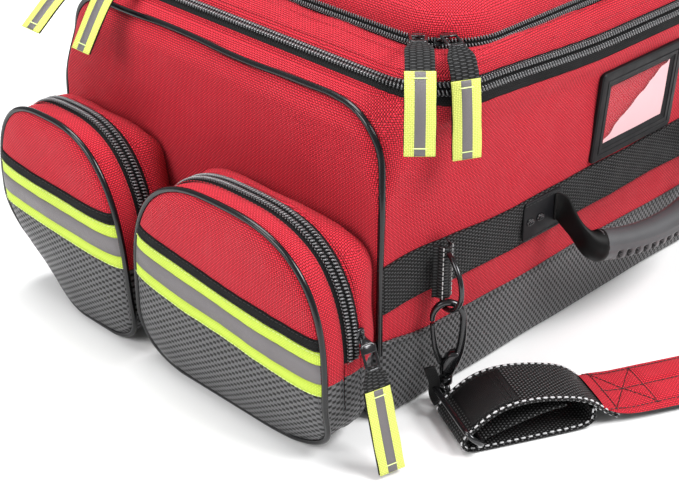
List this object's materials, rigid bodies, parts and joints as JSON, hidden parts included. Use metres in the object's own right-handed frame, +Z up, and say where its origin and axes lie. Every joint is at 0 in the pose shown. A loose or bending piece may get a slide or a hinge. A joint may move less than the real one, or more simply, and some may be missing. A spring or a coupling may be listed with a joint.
{
  "type": "trauma bag",
  "caption": "Soft zipped trauma bag with domed top pocket, end pockets, reflective bands, side handles, clear identity window and a detachable padded shoulder strap.",
  "frame": {"origin": "centre of the bag's base, on the floor it stands on", "axes": "+X along the bag's long side, -Y out of the side with the identity window and the strap, +Z up"},
  "size_m": [0.8931, 0.8543, 0.311],
  "materials": {
    "red_fabric": "woven matte",
    "boot": "embossed satin",
    "webbing": "coarse woven matte",
    "zip": "coil teeth on woven tape",
    "piping": "glossy",
    "reflective": "retroreflective tape",
    "hardware": "gunmetal gloss",
    "grip": "moulded satin",
    "window_frame": "moulded satin",
    "window_film": "clear film",
    "stiffener": "matte"
  },
  "bodies": {
    "root": {"body_shell": "red_fabric", "base_panel": "boot", "base_boot": "boot", "base_board": "stiffener", "divider": "red_fabric", "end_piping_left": "piping", "end_piping_right": "piping", "main_zip_lower": "zip", "webbing_front": "webbing", "webbing_back": "webbing", "id_frame": "window_frame", "id_film": "window_film", "pocket_back_near_left": "red_fabric", "pocket_back_far_left": "red_fabric", "pocket_back_near_right": "red_fabric", "pocket_back_far_right": "red_fabric", "pocket_zip_near_left": "zip", "pocket_zip_far_left": "zip", "pocket_zip_near_right": "zip", "pocket_zip_far_right": "zip"},
    "lid": {"lid_panel": "red_fabric", "main_zip_upper": "zip", "top_zip": "zip"},
    "top_pocket": {"top_pocket_cover": "red_fabric"},
    "main_pull_a": {"main_pull_a": "reflective"},
    "main_pull_b": {"main_pull_b": "reflective"},
    "top_pull_a": {"top_pull_a": "reflective"},
    "top_pull_b": {"top_pull_b": "reflective"},
    "door_near_left": {"pocket_front_near_left": "red_fabric", "pocket_band_near_left": "reflective", "pocket_piping_near_left": "piping"},
    "pocket_pull_near_left": {"pocket_pull_near_left": "reflective"},
    "door_far_left": {"pocket_front_far_left": "red_fabric", "pocket_band_far_left": "reflective", "pocket_piping_far_left": "piping"},
    "pocket_pull_far_left": {"pocket_pull_far_left": "reflective"},
    "door_near_right": {"pocket_front_near_right": "red_fabric", "pocket_band_near_right": "reflective"},
    "pocket_pull_near_right": {"pocket_pull_near_right": "reflective"},
    "door_far_right": {"pocket_front_far_right": "red_fabric", "pocket_band_far_right": "reflective"},
    "pocket_pull_far_right": {"pocket_pull_far_right": "reflective"},
    "handle_front": {"handle_grip_front": "grip", "handle_strap_front": "webbing"},
    "handle_back": {"handle_grip_back": "grip", "handle_strap_back": "webbing"},
    "d_ring_left": {"d_ring_left": "hardware"},
    "d_ring_right": {"d_ring_right": "hardware"},
    "hook_left": {"hook_left": "hardware"},
    "gate_left": {"hook_gate_left": "hardware"},
    "eye_left": {"hook_eye_left": "hardware"},
    "strap": {"strap_ring_left": "hardware", "strap_web_left": "webbing", "strap_pad": "red_fabric", "strap_web_right": "webbing"},
    "slide": {"strap_slide": "hardware"},
    "ring_right": {"strap_ring_right": "hardware"},
    "eye_right": {"hook_eye_right": "hardware"},
    "hook_right": {"hook_right": "hardware"},
    "gate_right": {"hook_gate_right": "hardware"}
  },
  "joints": [
    {"name": "lid_hinge", "type": "hinge", "parent": "root", "child": "lid", "pos_m": [0, 0.1892, 0.2438], "axis": [-1, 0, 0], "range_deg": [0, 105]},
    {"name": "top_pocket_hinge", "type": "hinge", "parent": "lid", "child": "top_pocket", "pos_m": [0, 0.1722, 0.2648], "axis": [-1, 0, 0], "range_deg": [0, 80]},
    {"name": "main_pull_a_lift", "type": "hinge", "parent": "root", "child": "main_pull_a", "pos_m": [-0.247, 0.141, 0.2555], "axis": [0, 1, 0], "range_deg": [0, 70]},
    {"name": "main_pull_b_slide", "type": "slide", "parent": "root", "child": "main_pull_b", "axis": [0, -1, 0], "range_m": [0, 0.16]},
    {"name": "top_pull_a_lift", "type": "hinge", "parent": "lid", "child": "top_pull_a", "pos_m": [-0.2076, -0.1439, 0.272], "axis": [-0.7071, 0.7071, 0], "range_deg": [0, 70]},
    {"name": "top_pull_b_lift", "type": "hinge", "parent": "lid", "child": "top_pull_b", "pos_m": [-0.1959, -0.1571, 0.272], "axis": [-0.8988, 0.4384, 0], "range_deg": [0, 58]},
    {"name": "door_near_left_hinge", "type": "hinge", "parent": "root", "child": "door_near_left", "pos_m": [-0.3304, -0.0865, 0.009], "axis": [0, -1, 0], "range_deg": [0, 75]},
    {"name": "pocket_pull_near_left_lift", "type": "hinge", "parent": "root", "child": "pocket_pull_near_left", "pos_m": [-0.303, -0.1865, 0.092], "axis": [-0.9781, 0.2079, 0], "range_deg": [0, 70]},
    {"name": "door_far_left_hinge", "type": "hinge", "parent": "root", "child": "door_far_left", "pos_m": [-0.3304, 0.1035, 0.009], "axis": [0, -1, 0], "range_deg": [0, 75]},
    {"name": "pocket_pull_far_left_lift", "type": "hinge", "parent": "root", "child": "pocket_pull_far_left", "pos_m": [-0.303, 0.0265, 0.092], "axis": [-1, 0, 0], "range_deg": [0, 5]},
    {"name": "door_near_right_hinge", "type": "hinge", "parent": "root", "child": "door_near_right", "pos_m": [0.3304, -0.0865, 0.009], "axis": [0, 1, 0], "range_deg": [0, 75]},
    {"name": "pocket_pull_near_right_lift", "type": "hinge", "parent": "root", "child": "pocket_pull_near_right", "pos_m": [0.303, -0.1865, 0.092], "axis": [-0.9781, -0.2079, 0], "range_deg": [0, 70]},
    {"name": "door_far_right_hinge", "type": "hinge", "parent": "root", "child": "door_far_right", "pos_m": [0.3304, 0.1035, 0.009], "axis": [0, 1, 0], "range_deg": [0, 75]},
    {"name": "pocket_pull_far_right_lift", "type": "hinge", "parent": "root", "child": "pocket_pull_far_right", "pos_m": [0.303, 0.0265, 0.092], "axis": [-1, 0, 0], "range_deg": [0, 5]},
    {"name": "handle_front_lift", "type": "hinge", "parent": "root", "child": "handle_front", "pos_m": [0, -0.187, 0.11], "axis": [-1, 0, 0], "range_deg": [0, 100]},
    {"name": "handle_back_lift", "type": "hinge", "parent": "root", "child": "handle_back", "pos_m": [0, 0.187, 0.11], "axis": [1, 0, 0], "range_deg": [0, 100]},
    {"name": "d_ring_left_swing", "type": "hinge", "parent": "root", "child": "d_ring_left", "pos_m": [-0.22, -0.1858, 0.1035], "axis": [0, 0, 1], "range_deg": [-14, 0]},
    {"name": "d_ring_right_swing", "type": "hinge", "parent": "root", "child": "d_ring_right", "pos_m": [0.22, -0.1858, 0.1035], "axis": [0, 0, 1], "range_deg": [-70, 70]},
    {"name": "hook_left_swing", "type": "hinge", "parent": "d_ring_left", "child": "hook_left", "pos_m": [-0.2229, -0.1942, 0.0819], "axis": [-0.3256, -0.9455, 0], "range_deg": [0, 30]},
    {"name": "gate_left_spring", "type": "hinge", "parent": "hook_left", "child": "gate_left", "pos_m": [-0.2287, -0.1884, 0.0428], "axis": [0.7071, 0.7071, 0], "range_deg": [0, 22], "stiffness_Nm_per_rad": 0.02},
    {"name": "eye_left_swivel", "type": "hinge", "parent": "hook_left", "child": "eye_left", "pos_m": [-0.2229, -0.1942, 0.0101], "axis": [0, 0, 1], "range_deg": [-8, 8]},
    {"name": "strap_lift", "type": "hinge", "parent": "eye_left", "child": "strap", "pos_m": [-0.2229, -0.1942, 0.0079], "axis": [-0.4384, -0.8988, 0], "range_deg": [0, 32]},
    {"name": "strap_slide_adjust", "type": "slide", "parent": "strap", "child": "slide", "axis": [0.8988, -0.4384, 0], "range_m": [-0.05, 0.035]},
    {"name": "ring_right_lift", "type": "hinge", "parent": "strap", "child": "ring_right", "pos_m": [0.45778, -0.56632, 0.007], "axis": [0.4384, 0.8988, 0], "range_deg": [-90, 0]},
    {"name": "eye_right_lift", "type": "hinge", "parent": "ring_right", "child": "eye_right", "pos_m": [0.47216, -0.57333, 0.0075], "axis": [0.4384, 0.8988, 0], "range_deg": [-60, 0]},
    {"name": "hook_right_swivel", "type": "hinge", "parent": "eye_right", "child": "hook_right", "pos_m": [0.4975, -0.58569, 0.0091], "axis": [0.8988, -0.4384, 0], "continuous": true},
    {"name": "gate_right_spring", "type": "hinge", "parent": "hook_right", "child": "gate_right", "pos_m": [0.50002, -0.59604, 0.0091], "axis": [0, 0, 1], "range_deg": [0, 22], "stiffness_Nm_per_rad": 0.02}
  ]
}
